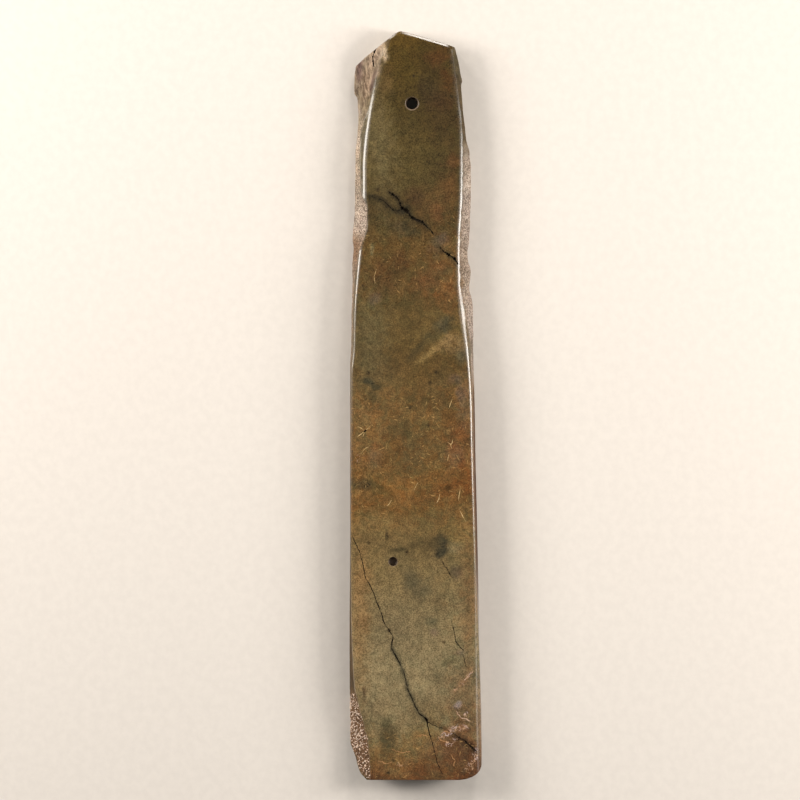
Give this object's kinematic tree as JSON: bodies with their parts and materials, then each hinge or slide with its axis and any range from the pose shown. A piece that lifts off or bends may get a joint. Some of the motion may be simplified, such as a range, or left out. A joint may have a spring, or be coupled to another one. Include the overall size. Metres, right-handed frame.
{
  "type": "straight chisel",
  "caption": "Long narrow polished greenstone chisel with a straight cutting edge, raw pebble flanks and a cord hole near its pointed butt.",
  "frame": {"origin": "middle of the blade's outline, on the flat back it lies on", "axes": "+Y along the blade from the cutting edge to the pointed butt, +Z out of the polished face, +X to the right when the face is seen with the butt at the top"},
  "size_m": [0.062, 0.35, 0.013],
  "materials": {
    "nephrite": "satin"
  },
  "bodies": {
    "root": {"chisel": "nephrite"}
  },
  "joints": []
}
